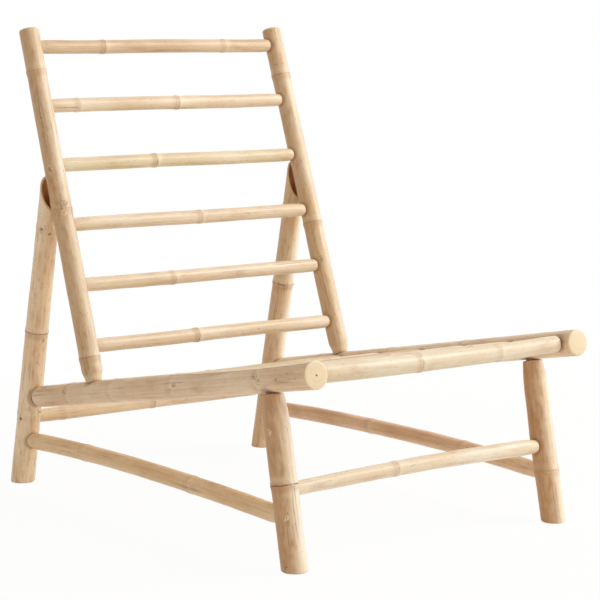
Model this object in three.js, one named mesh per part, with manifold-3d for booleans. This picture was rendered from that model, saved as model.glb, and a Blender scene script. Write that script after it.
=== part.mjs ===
import * as THREE from 'three';
import { mergeVertices } from 'three/addons/utils/BufferGeometryUtils.js';
import Module from 'manifold-3d';

// The bare frame of a low bamboo lounge chair: round poles with whittled tenons in drilled mortises.
// Small sunk screws pin the tenons, from behind, from below and from the right, where they hardly show.
// Millimetres, Z up, floor at z = 0, the sitter faces -Y.
// Left and right are as seen from the front of the chair, so the left side is at -X.

const wasm = await Module();
wasm.setup();

// Side triangle, measured along the axes of its poles
const railSlopeDegrees = 9.98;
const stileLeanDegrees = 19.2;
const rearLegLeanDegrees = 12.87;
const frontLegLeanDegrees = 11.7;
const railRearHeight = 152.8;
const stileSetback = 214.35;
const stileLength = 627.9;
const legSpacing = 706.55;
const railNose = 109.7;

// Width between the axes of the side rails, and how far poles stray from them
const frameWidth = 516;
const stileTopInset = 4.2;
const frontFootSpread = 1.1;
const rearFootSpread = 1.1;
const leftLegTopShift = -6.5;
const rightLegTopShift = -3.5;

// Diameters of the poles
const stileFootDiameter = 35.5;
const stileTopDiameter = 34;
const rearLegFootDiameter = 43;
const rearLegTopDiameter = 36.5;
const frontLegFootDiameter = 41;
const frontLegTopDiameter = 40;
const railRearDiameter = 37;
const railFrontDiameter = 42.5;
const rungDiameter = 24;
const slatDiameter = 26;
const rearBarDiameter = 31;
const frontBarLeftDiameter = 30.5;
const frontBarRightDiameter = 27;
const frontStretcherDiameter = 26;
const rearStretcherDiameter = 24.6;
const leftSideStretcherDiameter = 28.5;
const rightSideStretcherDiameter = 27;

// Rungs of the back and poles of the seat
const rungCount = 6;
const firstRungDrop = 32.7;
const lastRungRise = 77.7;
const slatCount = 4;
const rearBarAhead = 14.2;
const frontBarInset = 27.1;
const frontBarRise = 2.5;
const frontBarSag = 4;

// Stretchers
const rearStretcherDrop = 35.2;
const sideStretcherRearDrop = 40.1;
const frontStretcherHeight = 120;
const sideStretcherFrontDrop = 44.8;
const frontStretcherBow = 4;
const leftSideStretcherBow = 9;
const rightSideStretcherBow = 11;

// Top of the rear leg: slashed flat along the back of the stile, with the culm's bore open
const culmWall = 3.5;
const boreDepth = 92;

// Joints: a tenon, a blunt nose let into the host and the shoulder behind it
const jointGap = 0.3;
const tenonStop = 3;
const pinnedTenonStop = -8;
const uprightTenonStop = 5;
const mortiseWall = 1.5;
const noseHousing = 2.5;
const noseEdge = 4;
const rungTenonDiameter = 17;
const rungNoseDiameter = 21.5;
const rungShoulderLength = 18;
const slatTenonDiameter = 19;
const slatNoseDiameter = 23;
const slatShoulderLength = 18;
const seatBarTenonDiameter = 20;
const seatBarNoseDiameter = 26;
const seatBarShoulderLength = 20;
const stretcherTenonDiameter = 17.5;
const stretcherNoseDiameter = 22;
const stretcherShoulderLength = 34;
const stileTenonDiameter = 21;
const stileNoseDiameter = 29;
const stileShoulderLength = 20;
const frontLegTenonDiameter = 21;
const frontLegNoseDiameter = 32;
const frontLegShoulderLength = 55;
const railTenonDiameter = 24;
const railNoseDiameter = 32;
const railShoulderLength = 22;

// Screws: a sunk countersunk head over a plain shank
const screwHeadDiameter = 5;
const screwHeadHeight = 2;
const screwShankDiameter = 3.5;
const screwPointLength = 4;
const screwRecess = 2;
const rungPinLength = 27;
const seatPinLength = 30;
const frontLegPinLength = 31;
const rearStretcherScrewLength = 38;
const rearStretcherScrewSlantDegrees = 16;
const sideStretcherScrewLength = 42;
const railScrewLength = 48;
const legTopScrewLength = 20;
const legTopScrewRecess = 0.8;
const legTopScrewInset = 6.2;
const legTopScrewOffset = 3;

// Details of a culm
const ringRise = 1.2;
const ringHalfWidth = 6;
const cutChamfer = 1.5;
const pithDiameter = 5;
const pithDepth = 8;

// Facets
const mainSides = 12;
const crossSides = 9;
const screwSides = 5;
const bowSteps = 4;
const cutOverrun = 20;

const materials = {
  stile: new THREE.MeshStandardMaterial({ color: 0xd2b48a, roughness: 0.5, metalness: 0 }),
  leg: new THREE.MeshStandardMaterial({ color: 0xd8bd95, roughness: 0.5, metalness: 0 }),
  rail: new THREE.MeshStandardMaterial({ color: 0xc9ad85, roughness: 0.52, metalness: 0 }),
  rung: new THREE.MeshStandardMaterial({ color: 0xe3cfa8, roughness: 0.48, metalness: 0 }),
  stretcher: new THREE.MeshStandardMaterial({ color: 0xdcc39b, roughness: 0.5, metalness: 0 }),
  steel: new THREE.MeshStandardMaterial({ color: 0x8d8a86, roughness: 0.4, metalness: 1 }),
};

// Directions of the side's poles, and the angles between them
const { degToRad } = THREE.MathUtils;
const railSlope = degToRad(railSlopeDegrees);
const stileLean = degToRad(stileLeanDegrees);
const rearLegLean = degToRad(rearLegLeanDegrees);
const frontLegLean = degToRad(frontLegLeanDegrees);
const apexAngle = stileLean + rearLegLean;
const rearCornerAngle = Math.PI / 2 - rearLegLean - railSlope;
const acrossDirection = new THREE.Vector3(1, 0, 0);
const upDirection = new THREE.Vector3(0, 0, 1);
const frontDirection = new THREE.Vector3(0, -1, 0);
const railDirection = new THREE.Vector3(0, -Math.cos(railSlope), Math.sin(railSlope));
const frontLegDirection = new THREE.Vector3(0, Math.sin(frontLegLean), Math.cos(frontLegLean));
const stileDirection = new THREE.Vector3(0, Math.sin(stileLean), Math.cos(stileLean));
const stileBackDirection = new THREE.Vector3(0, Math.cos(stileLean), -Math.sin(stileLean));

// Sizes that follow from those above
const railLength = legSpacing + railNose;
const rungPitch = (stileLength - firstRungDrop - lastRungRise) / (rungCount - 1);
const rearBarSetback = stileSetback + rearBarAhead;
const frontBarSetback = railLength - frontBarInset;
const slatPitch = (frontBarSetback - rearBarSetback) / (slatCount + 1);
const legJointRise = (stileSetback * Math.sin(rearCornerAngle)) / Math.sin(apexAngle);
const rearStretcherHeight = railRearHeight - rearStretcherDrop;
const sideStretcherRearHeight = rearStretcherHeight - sideStretcherRearDrop;
const sideStretcherFrontHeight = frontStretcherHeight - sideStretcherFrontDrop;
const rearBarStop = stileTenonDiameter / 2 + mortiseWall;

// Point of a side's poles, where side is -1 on the left and 1 on the right
function railPoint(side, setback) {
  const rear = new THREE.Vector3((side * frameWidth) / 2, 0, railRearHeight);
  return rear.addScaledVector(railDirection, setback);
}

function stilePoint(side, rise) {
  const foot = railPoint(side, stileSetback);
  const top = foot.clone().addScaledVector(stileDirection, stileLength);
  top.x -= side * stileTopInset;
  return foot.lerp(top, rise / stileLength);
}

// Point at a height on the line through two points
function pointAtHeight(lower, upper, height) {
  return lower.clone().lerp(upper, (height - lower.z) / (upper.z - lower.z));
}

function rearLegTop(side) {
  const top = stilePoint(side, legJointRise);
  top.x += side < 0 ? leftLegTopShift : rightLegTopShift;
  return top;
}

function rearLegPoint(side, height) {
  const foot = railPoint(side, 0);
  foot.x += side * rearFootSpread;
  foot.y += foot.z * Math.tan(rearLegLean);
  foot.z = 0;
  return pointAtHeight(foot, rearLegTop(side), height);
}

function frontLegPoint(side, height) {
  const top = railPoint(side, legSpacing);
  const foot = top.clone().addScaledVector(frontLegDirection, -top.z / frontLegDirection.z);
  foot.x += side * frontFootSpread;
  return pointAtHeight(foot, top, height);
}

// Each pole: its axis between two points, its diameters there and what its ends are
const poles = new Map();

function addPole(name, pole) {
  const span = pole.from.distanceTo(pole.to);
  const direction = pole.to.clone().sub(pole.from).normalize();
  const reference = Math.abs(direction.z) > Math.SQRT1_2 ? frontDirection : upDirection;
  const side = reference.clone().addScaledVector(direction, -reference.dot(direction)).normalize();
  const frame = new THREE.Matrix4().makeBasis(side, direction.clone().cross(side), direction);
  frame.setPosition(pole.from);
  poles.set(name, { bow: 0, sides: mainSides, name, span, direction, frame, ...pole });
}

// End of a pole's axis, which runs on with the slope of its bow
function endDirection(pole, atStart) {
  const slope = (4 * pole.bow) / pole.span;
  const local = new THREE.Vector3(slope, 0, atStart ? 1 : -1);
  return local.transformDirection(pole.frame).negate();
}

function radiusAlong(pole, z) {
  return THREE.MathUtils.lerp(pole.fromDiameter, pole.toDiameter, z / pole.span) / 2;
}

function radiusAtPoint(pole, point) {
  return radiusAlong(pole, point.clone().sub(pole.from).dot(pole.direction));
}

// Distance from the host's axis to the root of the tenon, along the tenon
function seatDistance(guest, end) {
  const host = poles.get(end.host);
  const point = end === guest.start ? guest.from : guest.to;
  const turn = guest.direction.angleTo(host.direction);
  const surface = (radiusAtPoint(host, point) + jointGap) / Math.sin(turn);
  return surface + Math.abs(end.tenonDiameter / 2 / Math.tan(turn)) - noseHousing;
}

// Half profile of one end, from its tip inwards: z is counted from the end of the pole's axis.
// A gap widens the room beyond the tip and round the nose.
function endProfile(pole, end, atStart, gap) {
  const bodyRadius = (depth) => radiusAlong(pole, atStart ? depth : pole.span - depth);
  if (end.host) {
    const radius = end.tenonDiameter / 2;
    const root = seatDistance(pole, end);
    return [
      [0, end.stop - gap],
      [radius, end.stop - gap],
      [radius, root - gap],
      [end.noseDiameter / 2, root + noseEdge - gap],
      [bodyRadius(root + end.shoulderLength), root + end.shoulderLength],
    ];
  }
  if (end.overrun) {
    return [
      [0, -end.overrun],
      [bodyRadius(0), -end.overrun],
    ];
  }
  return [
    [0, pithDepth],
    [pithDiameter / 2, 0],
    [bodyRadius(0) - cutChamfer, 0],
    [bodyRadius(cutChamfer), cutChamfer],
  ];
}

// Half profile of the whole pole: the ends, the raised rings of the culm and the steps of a bow
function poleProfile(pole, gap) {
  const first = endProfile(pole, pole.start, true, gap);
  const last = endProfile(pole, pole.end, false, gap).map(([r, depth]) => [r, pole.span - depth]);
  const bodyStart = first[first.length - 1][1];
  const bodyEnd = last[last.length - 1][1];
  const body = [];
  for (const share of pole.ringShares) {
    const z = share * pole.span;
    body.push([radiusAlong(pole, z - ringHalfWidth), z - ringHalfWidth]);
    body.push([radiusAlong(pole, z) + ringRise, z]);
    body.push([radiusAlong(pole, z + ringHalfWidth), z + ringHalfWidth]);
  }
  for (let step = 1; pole.bow !== 0 && step < bowSteps; step += 1) {
    const z = THREE.MathUtils.lerp(bodyStart, bodyEnd, step / bowSteps);
    if (pole.ringShares.every((share) => Math.abs(share * pole.span - z) > 2 * ringHalfWidth)) {
      body.push([radiusAlong(pole, z), z]);
    }
  }
  body.sort((a, b) => a[1] - b[1]);
  return [...first, ...body, ...last.reverse()];
}

// Turns a half profile of [radius, z] about +Z
function lathe(profile, sides) {
  const points = profile.map(([radius, z]) => new THREE.Vector2(radius, z));
  return new THREE.LatheGeometry(points, sides).rotateX(Math.PI / 2);
}

// Shape of a pole in its own frame, or the room it needs when grown by a gap
function poleGeometry(pole, gap) {
  const sideGap = gap / Math.cos(Math.PI / pole.sides);
  const grown = poleProfile(pole, gap).map(([radius, z]) => [radius > 0 ? radius + sideGap : 0, z]);
  const geometry = lathe(grown, pole.sides);
  const position = geometry.attributes.position;
  for (let i = 0; i < position.count; i += 1) {
    const share = position.getZ(i) / pole.span;
    position.setX(i, position.getX(i) + 4 * pole.bow * share * (1 - share));
  }
  return geometry;
}

// Closed solid of a geometry, and back
function solidOf(geometry, frame) {
  const bare = geometry.clone().applyMatrix4(frame);
  bare.deleteAttribute('normal');
  bare.deleteAttribute('uv');
  const merged = mergeVertices(bare);
  const corners = merged.index.array;
  const triangles = [];
  for (let i = 0; i < corners.length; i += 3) {
    const triangle = [corners[i], corners[i + 1], corners[i + 2]];
    if (new Set(triangle).size === 3) {
      triangles.push(...triangle);
    }
  }
  const mesh = new wasm.Mesh({
    numProp: 3,
    vertProperties: Float32Array.from(merged.attributes.position.array),
    triVerts: Uint32Array.from(triangles),
  });
  return new wasm.Manifold(mesh);
}

function geometryOf(solid) {
  const { vertProperties, triVerts } = solid.getMesh();
  const geometry = new THREE.BufferGeometry();
  geometry.setAttribute('position', new THREE.BufferAttribute(Float32Array.from(vertProperties), 3));
  geometry.setIndex(new THREE.BufferAttribute(Uint32Array.from(triVerts), 1));
  geometry.computeVertexNormals();
  return geometry;
}

// Poles of the two sides
const cutEnd = {};
const sides = [
  { side: -1, word: 'left' },
  { side: 1, word: 'right' },
];
const stileRingShares = { left: [0.092, 0.494, 0.878], right: [0.413, 0.856] };
const rearLegRingShares = { left: [0.232, 0.503, 0.836], right: [0.288, 0.591, 0.853] };
const frontLegRingShares = { left: [0.45], right: [0.292] };
const railRingShares = { left: [0.177, 0.347, 0.564, 0.845], right: [0.2, 0.44, 0.68] };
const sideStretcherRingShares = { left: [0.263, 0.678], right: [0.414, 0.739] };
const sideStretcherDiameters = { left: leftSideStretcherDiameter, right: rightSideStretcherDiameter };
const sideStretcherBows = { left: leftSideStretcherBow, right: rightSideStretcherBow };

const stretcherEnd = {
  tenonDiameter: stretcherTenonDiameter,
  noseDiameter: stretcherNoseDiameter,
  stop: tenonStop,
  shoulderLength: stretcherShoulderLength,
};
const pinnedStretcherEnd = { ...stretcherEnd, stop: pinnedTenonStop };

for (const { side, word } of sides) {
  addPole(`${word}_rear_leg`, {
    from: rearLegPoint(side, 0),
    to: rearLegTop(side),
    fromDiameter: rearLegFootDiameter,
    toDiameter: rearLegTopDiameter,
    start: { overrun: cutOverrun },
    end: { overrun: cutOverrun },
    ringShares: rearLegRingShares[word],
    material: materials.leg,
  });
  addPole(`${word}_side_rail`, {
    from: railPoint(side, 0),
    to: railPoint(side, railLength),
    fromDiameter: railRearDiameter,
    toDiameter: railFrontDiameter,
    start: {
      host: `${word}_rear_leg`,
      tenonDiameter: railTenonDiameter,
      noseDiameter: railNoseDiameter,
      stop: tenonStop,
      shoulderLength: railShoulderLength,
    },
    end: cutEnd,
    ringShares: railRingShares[word],
    material: materials.rail,
  });
  addPole(`${word}_stile`, {
    from: stilePoint(side, 0),
    to: stilePoint(side, stileLength),
    fromDiameter: stileFootDiameter,
    toDiameter: stileTopDiameter,
    start: {
      host: `${word}_side_rail`,
      tenonDiameter: stileTenonDiameter,
      noseDiameter: stileNoseDiameter,
      stop: uprightTenonStop,
      shoulderLength: stileShoulderLength,
    },
    end: cutEnd,
    ringShares: stileRingShares[word],
    material: materials.stile,
  });
  addPole(`${word}_front_leg`, {
    from: frontLegPoint(side, 0),
    to: railPoint(side, legSpacing),
    fromDiameter: frontLegFootDiameter,
    toDiameter: frontLegTopDiameter,
    start: { overrun: cutOverrun },
    end: {
      host: `${word}_side_rail`,
      tenonDiameter: frontLegTenonDiameter,
      noseDiameter: frontLegNoseDiameter,
      stop: uprightTenonStop,
      shoulderLength: frontLegShoulderLength,
    },
    ringShares: frontLegRingShares[word],
    material: materials.leg,
  });
  addPole(`${word}_side_stretcher`, {
    from: rearLegPoint(side, sideStretcherRearHeight),
    to: frontLegPoint(side, sideStretcherFrontHeight),
    fromDiameter: sideStretcherDiameters[word],
    toDiameter: sideStretcherDiameters[word],
    start: { host: `${word}_rear_leg`, ...stretcherEnd },
    end: { host: `${word}_front_leg`, ...pinnedStretcherEnd },
    ringShares: sideStretcherRingShares[word],
    bow: sideStretcherBows[word],
    sides: crossSides,
    material: materials.stretcher,
  });
}

// A pole across the chair, from a left pole to the right one of the same name
function addCrossPole(name, host, pointOf, end, pole) {
  addPole(name, {
    from: pointOf(-1),
    to: pointOf(1),
    start: { host: `left_${host}`, ...end },
    end: { host: `right_${host}`, ...end },
    sides: crossSides,
    ...pole,
  });
}

// Rungs of the back, from the top down
const rungRingShares = [[0.273, 0.769], [0.129, 0.526], [0.391], [0.526], [0.371], [0.419]];
const rungEnd = {
  tenonDiameter: rungTenonDiameter,
  noseDiameter: rungNoseDiameter,
  stop: pinnedTenonStop,
  shoulderLength: rungShoulderLength,
};
for (let i = 0; i < rungCount; i += 1) {
  const rise = stileLength - firstRungDrop - rungPitch * i;
  addCrossPole(`back_rung_${i + 1}`, 'stile', (side) => stilePoint(side, rise), rungEnd, {
    fromDiameter: rungDiameter,
    toDiameter: rungDiameter,
    ringShares: rungRingShares[i % rungRingShares.length],
    material: materials.rung,
  });
}

// Poles of the seat: the slats lie evenly between the front bar and the rear bar
const slatRingShares = [[0.35, 0.8], [0.2, 0.65], [0.52], [0.3, 0.75]];
const slatEnd = {
  tenonDiameter: slatTenonDiameter,
  noseDiameter: slatNoseDiameter,
  stop: pinnedTenonStop,
  shoulderLength: slatShoulderLength,
};
const seatBarEnd = {
  tenonDiameter: seatBarTenonDiameter,
  noseDiameter: seatBarNoseDiameter,
  stop: pinnedTenonStop,
  shoulderLength: seatBarShoulderLength,
};
const rearBarEnd = { ...seatBarEnd, stop: rearBarStop };

function frontBarPoint(side) {
  return railPoint(side, frontBarSetback).addScaledVector(upDirection, frontBarRise);
}

addCrossPole('seat_front_bar', 'side_rail', frontBarPoint, seatBarEnd, {
  fromDiameter: frontBarLeftDiameter,
  toDiameter: frontBarRightDiameter,
  ringShares: [0.404, 0.714],
  bow: -frontBarSag,
  material: materials.rung,
});
for (let i = 0; i < slatCount; i += 1) {
  const setback = frontBarSetback - slatPitch * (i + 1);
  addCrossPole(`seat_slat_${i + 1}`, 'side_rail', (side) => railPoint(side, setback), slatEnd, {
    fromDiameter: slatDiameter,
    toDiameter: slatDiameter,
    ringShares: slatRingShares[i % slatRingShares.length],
    material: materials.rung,
  });
}
addCrossPole('seat_rear_bar', 'side_rail', (side) => railPoint(side, rearBarSetback), rearBarEnd, {
  fromDiameter: rearBarDiameter,
  toDiameter: rearBarDiameter,
  ringShares: [0.42],
  material: materials.rung,
});

// Low stretchers across the chair
const frontStretcherPoint = (side) => frontLegPoint(side, frontStretcherHeight);
const rearStretcherPoint = (side) => rearLegPoint(side, rearStretcherHeight);
addCrossPole('front_stretcher', 'front_leg', frontStretcherPoint, pinnedStretcherEnd, {
  fromDiameter: frontStretcherDiameter,
  toDiameter: frontStretcherDiameter,
  ringShares: [0.401],
  bow: frontStretcherBow,
  material: materials.stretcher,
});
addCrossPole('rear_stretcher', 'rear_leg', rearStretcherPoint, stretcherEnd, {
  fromDiameter: rearStretcherDiameter,
  toDiameter: rearStretcherDiameter,
  ringShares: [0.13, 0.488],
  material: materials.stretcher,
});

// Screws: the profile runs from the point at the bottom to the top of the head at z = 0
const shankRadius = screwShankDiameter / 2;

function screwGeometry(length) {
  const profile = [
    [0, -length],
    [shankRadius, screwPointLength - length],
    [shankRadius, -screwHeadHeight],
    [screwHeadDiameter / 2, 0],
    [0, 0],
  ];
  return lathe(profile, screwSides);
}

function screwHoleGeometry(length) {
  const gap = jointGap / Math.cos(Math.PI / screwSides);
  const headRadius = screwHeadDiameter / 2 + gap;
  const profile = [
    [0, -length - jointGap],
    [shankRadius + gap, screwPointLength - length],
    [shankRadius + gap, -screwHeadHeight],
    [headRadius, 0],
    [headRadius, cutOverrun],
    [0, cutOverrun],
  ];
  return lathe(profile, screwSides);
}

const screws = [];

function addScrew(name, length, top, outward, through) {
  const reference = Math.abs(outward.x) > Math.SQRT1_2 ? upDirection : acrossDirection;
  const side = reference.clone().addScaledVector(outward, -reference.dot(outward)).normalize();
  const frame = new THREE.Matrix4().makeBasis(side, outward.clone().cross(side), outward);
  frame.setPosition(top);
  screws.push({ name: `${name}_screw`, length, frame, through });
}

// Adds a screw whose head is sunk in the host of a tenon, on the side that faces outward
function addHostScrew(pole, end, name, length, outward) {
  const host = poles.get(end.host);
  const point = end === pole.start ? pole.from : pole.to;
  const surface = radiusAtPoint(host, point) / Math.sin(outward.angleTo(host.direction));
  const top = point.clone().addScaledVector(outward, surface - screwRecess);
  addScrew(name, length, top, outward, [pole.name, host.name]);
}

// A screw along a tenon's axis, or slanted from it towards the front
function addAxialScrew(poleName, endWord, length, slant = 0) {
  const pole = poles.get(poleName);
  const atStart = endWord !== 'right';
  const outward = endDirection(pole, atStart).multiplyScalar(Math.cos(slant));
  outward.addScaledVector(frontDirection, Math.sin(slant)).normalize();
  addHostScrew(pole, atStart ? pole.start : pole.end, `${poleName}_${endWord}`, length, outward);
}

// A screw that pins a tenon crosswise, from the side of its host that looks along a reference
function addPin(poleName, endWord, length, reference) {
  const pole = poles.get(poleName);
  const end = endWord === 'left' ? pole.start : pole.end;
  const outward = pole.direction.clone().cross(poles.get(end.host).direction).normalize();
  outward.multiplyScalar(Math.sign(outward.dot(reference)));
  addHostScrew(pole, end, `${poleName}_${endWord}`, length, outward);
}

const backDirection = frontDirection.clone().negate();
const downDirection = upDirection.clone().negate();
for (const { word } of sides) {
  for (let i = 0; i < rungCount; i += 1) {
    addPin(`back_rung_${i + 1}`, word, rungPinLength, backDirection);
  }
  for (let i = 0; i < slatCount; i += 1) {
    addPin(`seat_slat_${i + 1}`, word, seatPinLength, downDirection);
  }
  addPin('seat_front_bar', word, seatPinLength, downDirection);
  addPin('front_stretcher', word, frontLegPinLength, backDirection);
  addPin(`${word}_side_stretcher`, 'front', frontLegPinLength, acrossDirection);
  addAxialScrew(`${word}_side_stretcher`, 'rear', sideStretcherScrewLength);
  addAxialScrew(`${word}_side_rail`, 'rear', railScrewLength);
  addAxialScrew('rear_stretcher', word, rearStretcherScrewLength, degToRad(rearStretcherScrewSlantDegrees));
}

// The screw at the tip of a rear leg, square to the leg's back
for (const { word } of sides) {
  const leg = poles.get(`${word}_rear_leg`);
  const stileRadius = radiusAtPoint(poles.get(`${word}_stile`), leg.to);
  const legRadius = leg.toDiameter / 2;
  const tipDepth = (stileRadius + jointGap - legRadius * Math.cos(apexAngle)) / Math.sin(apexAngle);
  const outward = leg.direction.clone().cross(acrossDirection).normalize();
  const top = leg.to.clone().addScaledVector(leg.direction, -tipDepth - legTopScrewInset);
  top.addScaledVector(outward, legRadius - legTopScrewRecess);
  top.addScaledVector(acrossDirection, legTopScrewOffset);
  addScrew(`${leg.name}_top`, legTopScrewLength, top, outward, [leg.name, `${word}_stile`]);
}

// Cuts in the top of a rear leg
function slashCutter(leg, stile) {
  const size = rearLegFootDiameter + 2 * legJointRise;
  const contact = leg.to.clone();
  contact.addScaledVector(stileBackDirection, radiusAtPoint(stile, leg.to) + jointGap - size / 2);
  const frame = new THREE.Matrix4();
  frame.makeBasis(acrossDirection, stileBackDirection, stileDirection);
  frame.setPosition(contact);
  return solidOf(new THREE.BoxGeometry(size, size, size), frame);
}

function boreCutter(leg) {
  const radius = leg.toDiameter / 2 - culmWall;
  const profile = [
    [0, leg.span - boreDepth],
    [radius - cutChamfer, leg.span - boreDepth],
    [radius, leg.span - boreDepth + cutChamfer],
    [radius, leg.span + 2 * cutOverrun],
    [0, leg.span + 2 * cutOverrun],
  ];
  return solidOf(lathe(profile, leg.sides), leg.frame);
}

const groundFrame = new THREE.Matrix4().setPosition(0, -railLength / 2, -railLength);
const ground = solidOf(new THREE.BoxGeometry(2 * frameWidth, 2 * railLength, 2 * railLength), groundFrame);

// Every pole with its mortises, holes and cuts
const cutters = new Map();
for (const name of poles.keys()) {
  cutters.set(name, []);
}
for (const pole of poles.values()) {
  for (const end of [pole.start, pole.end]) {
    if (end.host) {
      cutters.get(end.host).push(solidOf(poleGeometry(pole, jointGap), pole.frame));
    }
  }
}
for (const { length, frame, through } of screws) {
  for (const name of through) {
    cutters.get(name).push(solidOf(screwHoleGeometry(length), frame));
  }
}
for (const { word } of sides) {
  const leg = poles.get(`${word}_rear_leg`);
  const stile = poles.get(`${word}_stile`);
  cutters.get(leg.name).push(slashCutter(leg, stile));
  cutters.get(leg.name).push(boreCutter(leg));
  cutters.get(leg.name).push(solidOf(poleGeometry(stile, jointGap), stile.frame));
  cutters.get(leg.name).push(ground);
  cutters.get(`${word}_front_leg`).push(ground);
}

const chair = new THREE.Group();
for (const pole of poles.values()) {
  let solid = solidOf(poleGeometry(pole, 0), pole.frame);
  for (const cutter of cutters.get(pole.name)) {
    solid = solid.subtract(cutter);
  }
  const geometry = geometryOf(solid).applyMatrix4(pole.frame.clone().invert());
  const mesh = new THREE.Mesh(geometry, pole.material.clone());
  mesh.name = pole.name;
  mesh.applyMatrix4(pole.frame);
  chair.add(mesh);
}

for (const { name, length, frame } of screws) {
  const mesh = new THREE.Mesh(screwGeometry(length), materials.steel.clone());
  mesh.name = name;
  mesh.applyMatrix4(frame);
  chair.add(mesh);
}

// The origin is on the floor, under the middle of the chair's box
const box = new THREE.Box3().setFromObject(chair, true);
const centre = box.getCenter(new THREE.Vector3());
chair.position.set(-centre.x, -centre.y, 0);
const part = new THREE.Group();
part.add(chair);

export default part;
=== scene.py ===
# %% [markdown]
# # A low bamboo lounge chair
#
# The chair is the bare frame of a lounge chair: a ladder back that leans against two slashed rear legs, and
# a sloping seat between two side rails. Every part of it is a round culm, and the culms meet in whittled
# tenons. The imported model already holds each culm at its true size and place. This lesson grows a finer culm
# around each of those axes, drills it, and gives it the skin, nodes, scars and cut ends of real bamboo.

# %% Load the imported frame
import math
import random

import bpy
from mathutils import Matrix, Vector


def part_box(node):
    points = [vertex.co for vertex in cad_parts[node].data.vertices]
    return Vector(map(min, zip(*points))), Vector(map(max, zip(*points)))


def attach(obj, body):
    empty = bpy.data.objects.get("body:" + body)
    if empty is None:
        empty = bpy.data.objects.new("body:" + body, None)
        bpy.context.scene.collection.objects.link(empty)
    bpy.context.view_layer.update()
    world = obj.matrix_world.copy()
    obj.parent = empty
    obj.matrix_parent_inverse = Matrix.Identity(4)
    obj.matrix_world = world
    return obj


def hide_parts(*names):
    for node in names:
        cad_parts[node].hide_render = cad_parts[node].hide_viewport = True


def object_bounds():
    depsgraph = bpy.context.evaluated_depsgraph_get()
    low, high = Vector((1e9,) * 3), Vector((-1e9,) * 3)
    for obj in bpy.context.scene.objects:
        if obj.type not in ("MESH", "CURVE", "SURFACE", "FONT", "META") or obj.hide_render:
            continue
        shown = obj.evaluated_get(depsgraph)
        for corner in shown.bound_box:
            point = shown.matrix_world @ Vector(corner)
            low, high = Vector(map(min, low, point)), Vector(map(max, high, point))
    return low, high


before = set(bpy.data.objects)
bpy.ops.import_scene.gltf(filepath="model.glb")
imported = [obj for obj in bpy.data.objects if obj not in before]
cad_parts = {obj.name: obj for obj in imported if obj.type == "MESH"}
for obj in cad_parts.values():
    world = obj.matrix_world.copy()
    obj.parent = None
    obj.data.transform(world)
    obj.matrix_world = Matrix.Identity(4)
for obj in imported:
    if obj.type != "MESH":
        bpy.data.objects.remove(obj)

cad_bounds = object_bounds()

# %% [markdown]
# ## The skeleton
#
# A chair like this is set out on paper as a side view: a rail, a leaning stile, a rear leg that props it and
# a front leg. The same few lengths and angles place every axis here, so the fine culms land exactly where
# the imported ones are. The origin lies under the middle of the chair's box, so two more lengths say where the
# middle of the frame and the rear ends of the rails are from there.

# %% Sizes of the side triangle
mm = 0.001
rail_slope = math.radians(9.98)
stile_lean = math.radians(19.2)
rear_leg_lean = math.radians(12.87)
front_leg_lean = math.radians(11.7)
rail_rear_height = 152.8 * mm
rail_nose = 109.7 * mm
leg_spacing = 706.55 * mm
stile_setback = 214.35 * mm
stile_length = 627.9 * mm
frame_width = 516 * mm
stile_top_inset = 4.2 * mm
foot_spread = 1.1 * mm
leg_top_shift = {-1: -6.5 * mm, 1: -3.5 * mm}
middle_x = 0.614 * mm
rail_rear_y = 375.216 * mm

apex_angle = stile_lean + rear_leg_lean
rear_corner = math.pi / 2 - rear_leg_lean - rail_slope
leg_joint_rise = stile_setback * math.sin(rear_corner) / math.sin(apex_angle)
print("rear leg meets the stile", round(leg_joint_rise / mm, 1), "mm above the rail")

# %% Sizes of the crosswise poles
rung_count = 6
first_rung_drop = 32.7 * mm
last_rung_rise = 77.7 * mm
rung_pitch = (stile_length - first_rung_drop - last_rung_rise) / (rung_count - 1)

slat_count = 4
rear_bar_setback = stile_setback + 14.2 * mm
front_bar_setback = leg_spacing + rail_nose - 27.1 * mm
front_bar_rise = 2.5 * mm
slat_pitch = (front_bar_setback - rear_bar_setback) / (slat_count + 1)

rear_stretcher_height = rail_rear_height - 35.2 * mm
side_stretcher_rear_height = rear_stretcher_height - 40.1 * mm
front_stretcher_height = 120 * mm
side_stretcher_front_height = front_stretcher_height - 44.8 * mm
print("rungs every", round(rung_pitch / mm, 1), "mm, slats every", round(slat_pitch / mm, 1), "mm")

# %% Points on the axes
right = Vector((1, 0, 0))
up = Vector((0, 0, 1))
forwards = Vector((0, -1, 0))
rail_direction = Vector((0, -math.cos(rail_slope), math.sin(rail_slope)))
stile_direction = Vector((0, math.sin(stile_lean), math.cos(stile_lean)))
front_leg_direction = Vector((0, math.sin(front_leg_lean), math.cos(front_leg_lean)))


def rail_point(side, setback):
    rear = Vector((middle_x + side * frame_width / 2, rail_rear_y, rail_rear_height))
    return rear + rail_direction * setback


def stile_point(side, rise):
    foot = rail_point(side, stile_setback)
    top = foot + stile_direction * stile_length - right * side * stile_top_inset
    return foot.lerp(top, rise / stile_length)


def point_at_height(lower, upper, height):
    return lower.lerp(upper, (height - lower.z) / (upper.z - lower.z))


def rear_leg_top(side):
    return stile_point(side, leg_joint_rise) + right * leg_top_shift[side]


def rear_leg_point(side, height):
    foot = rail_point(side, 0) + right * side * foot_spread
    foot.y += foot.z * math.tan(rear_leg_lean)
    foot.z = 0
    return point_at_height(foot, rear_leg_top(side), height)


def front_leg_point(side, height):
    top = rail_point(side, leg_spacing)
    foot = top - front_leg_direction * (top.z / front_leg_direction.z) + right * side * foot_spread
    return point_at_height(foot, top, height)


def front_bar_point(side, setback):
    return rail_point(side, setback) + up * front_bar_rise


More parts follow.
